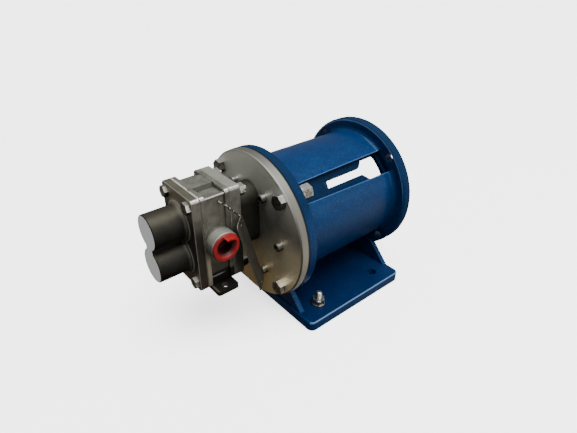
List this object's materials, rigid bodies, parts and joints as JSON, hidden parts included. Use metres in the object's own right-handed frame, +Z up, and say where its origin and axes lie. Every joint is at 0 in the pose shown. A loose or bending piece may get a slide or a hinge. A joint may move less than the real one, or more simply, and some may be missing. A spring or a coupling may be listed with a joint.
{
  "type": "gear pump",
  "caption": "External gear pump with magnetic drive on a cast pedestal that takes a C face motor; meshed gears, a plugged side port and a hanging tag.",
  "frame": {"origin": "centre of the four base holes, on the underside of the base", "axes": "+Z up from the base, +X along the drive shaft towards the motor face, -Y towards the plugged port and the tag"},
  "size_m": [0.287, 0.182, 0.1866],
  "materials": {
    "blue_paint": "semi-gloss enamel over a cast surface",
    "machined_stainless": "matte machined stainless",
    "cast_stainless": "bead-blasted investment casting, machined joint faces",
    "bright_stainless": "bright turned stainless",
    "ptfe": "white seal plastic",
    "peek": "tan gear plastic",
    "carbon": "carbon graphite",
    "magnet_alloy": "ground magnet alloy",
    "red_plastic": "glossy soft moulded plastic",
    "dark_tag_metal": "dark rolled sheet"
  },
  "bodies": {
    "casing": {"pedestal": "blue_paint", "adapter_plate": "machined_stainless", "front_cover": "cast_stainless", "pump_body": "cast_stainless", "rear_cover": "cast_stainless", "front_seal_ring": "ptfe", "rear_seal_ring": "ptfe", "front_wear_plate": "carbon", "rear_wear_plate": "carbon", "front_drive_bearing": "carbon", "front_idler_bearing": "carbon", "rear_drive_bearing": "carbon", "rear_idler_bearing": "carbon", "containment_can": "bright_stainless", "can_seal_ring": "ptfe", "can_screws": "bright_stainless", "neck_screws": "bright_stainless", "plate_bolts": "bright_stainless", "plate_washers": "bright_stainless", "plate_nuts": "bright_stainless", "casing_bolts": "bright_stainless", "casing_washers": "bright_stainless", "casing_nuts": "bright_stainless", "front_dowels": "bright_stainless", "rear_dowels": "bright_stainless", "tag_wire": "bright_stainless", "base_stud": "bright_stainless", "base_nut": "bright_stainless", "base_washer": "bright_stainless"},
    "drive_rotor": {"drive_shaft": "bright_stainless", "drive_gear": "bright_stainless", "drive_gear_key": "bright_stainless", "drive_gear_clips": "bright_stainless", "magnet_hub": "bright_stainless", "magnet_hub_key": "bright_stainless", "inner_magnets": "magnet_alloy", "magnet_sleeve": "bright_stainless", "hub_washer": "bright_stainless", "hub_bolt": "bright_stainless"},
    "idler_rotor": {"idler_shaft": "bright_stainless", "idler_gear": "peek", "idler_gear_key": "bright_stainless", "idler_gear_clips": "bright_stainless"},
    "plug": {"port_plug": "red_plastic"},
    "tag": {"tag": "dark_tag_metal"}
  },
  "joints": [
    {"name": "drive_spin", "type": "hinge", "parent": "casing", "child": "drive_rotor", "pos_m": [-0.14625, 0, 0.1016], "axis": [1, 0, 0], "continuous": true},
    {"name": "idler_spin", "type": "hinge", "parent": "casing", "child": "idler_rotor", "pos_m": [-0.14625, 0, 0.1397], "axis": [1, 0, 0], "continuous": true},
    {"name": "plug_pull", "type": "slide", "parent": "casing", "child": "plug", "axis": [0, -1, 0], "range_m": [0, 0.02]},
    {"name": "tag_swing", "type": "hinge", "parent": "casing", "child": "tag", "pos_m": [-0.126, -0.0367, 0.1375], "axis": [-0.9799, 0, -0.1994], "range_deg": [0, 40]}
  ],
  "couplings": [
    {"joint": "idler_spin", "follows": "drive_spin", "ratio": -1}
  ]
}
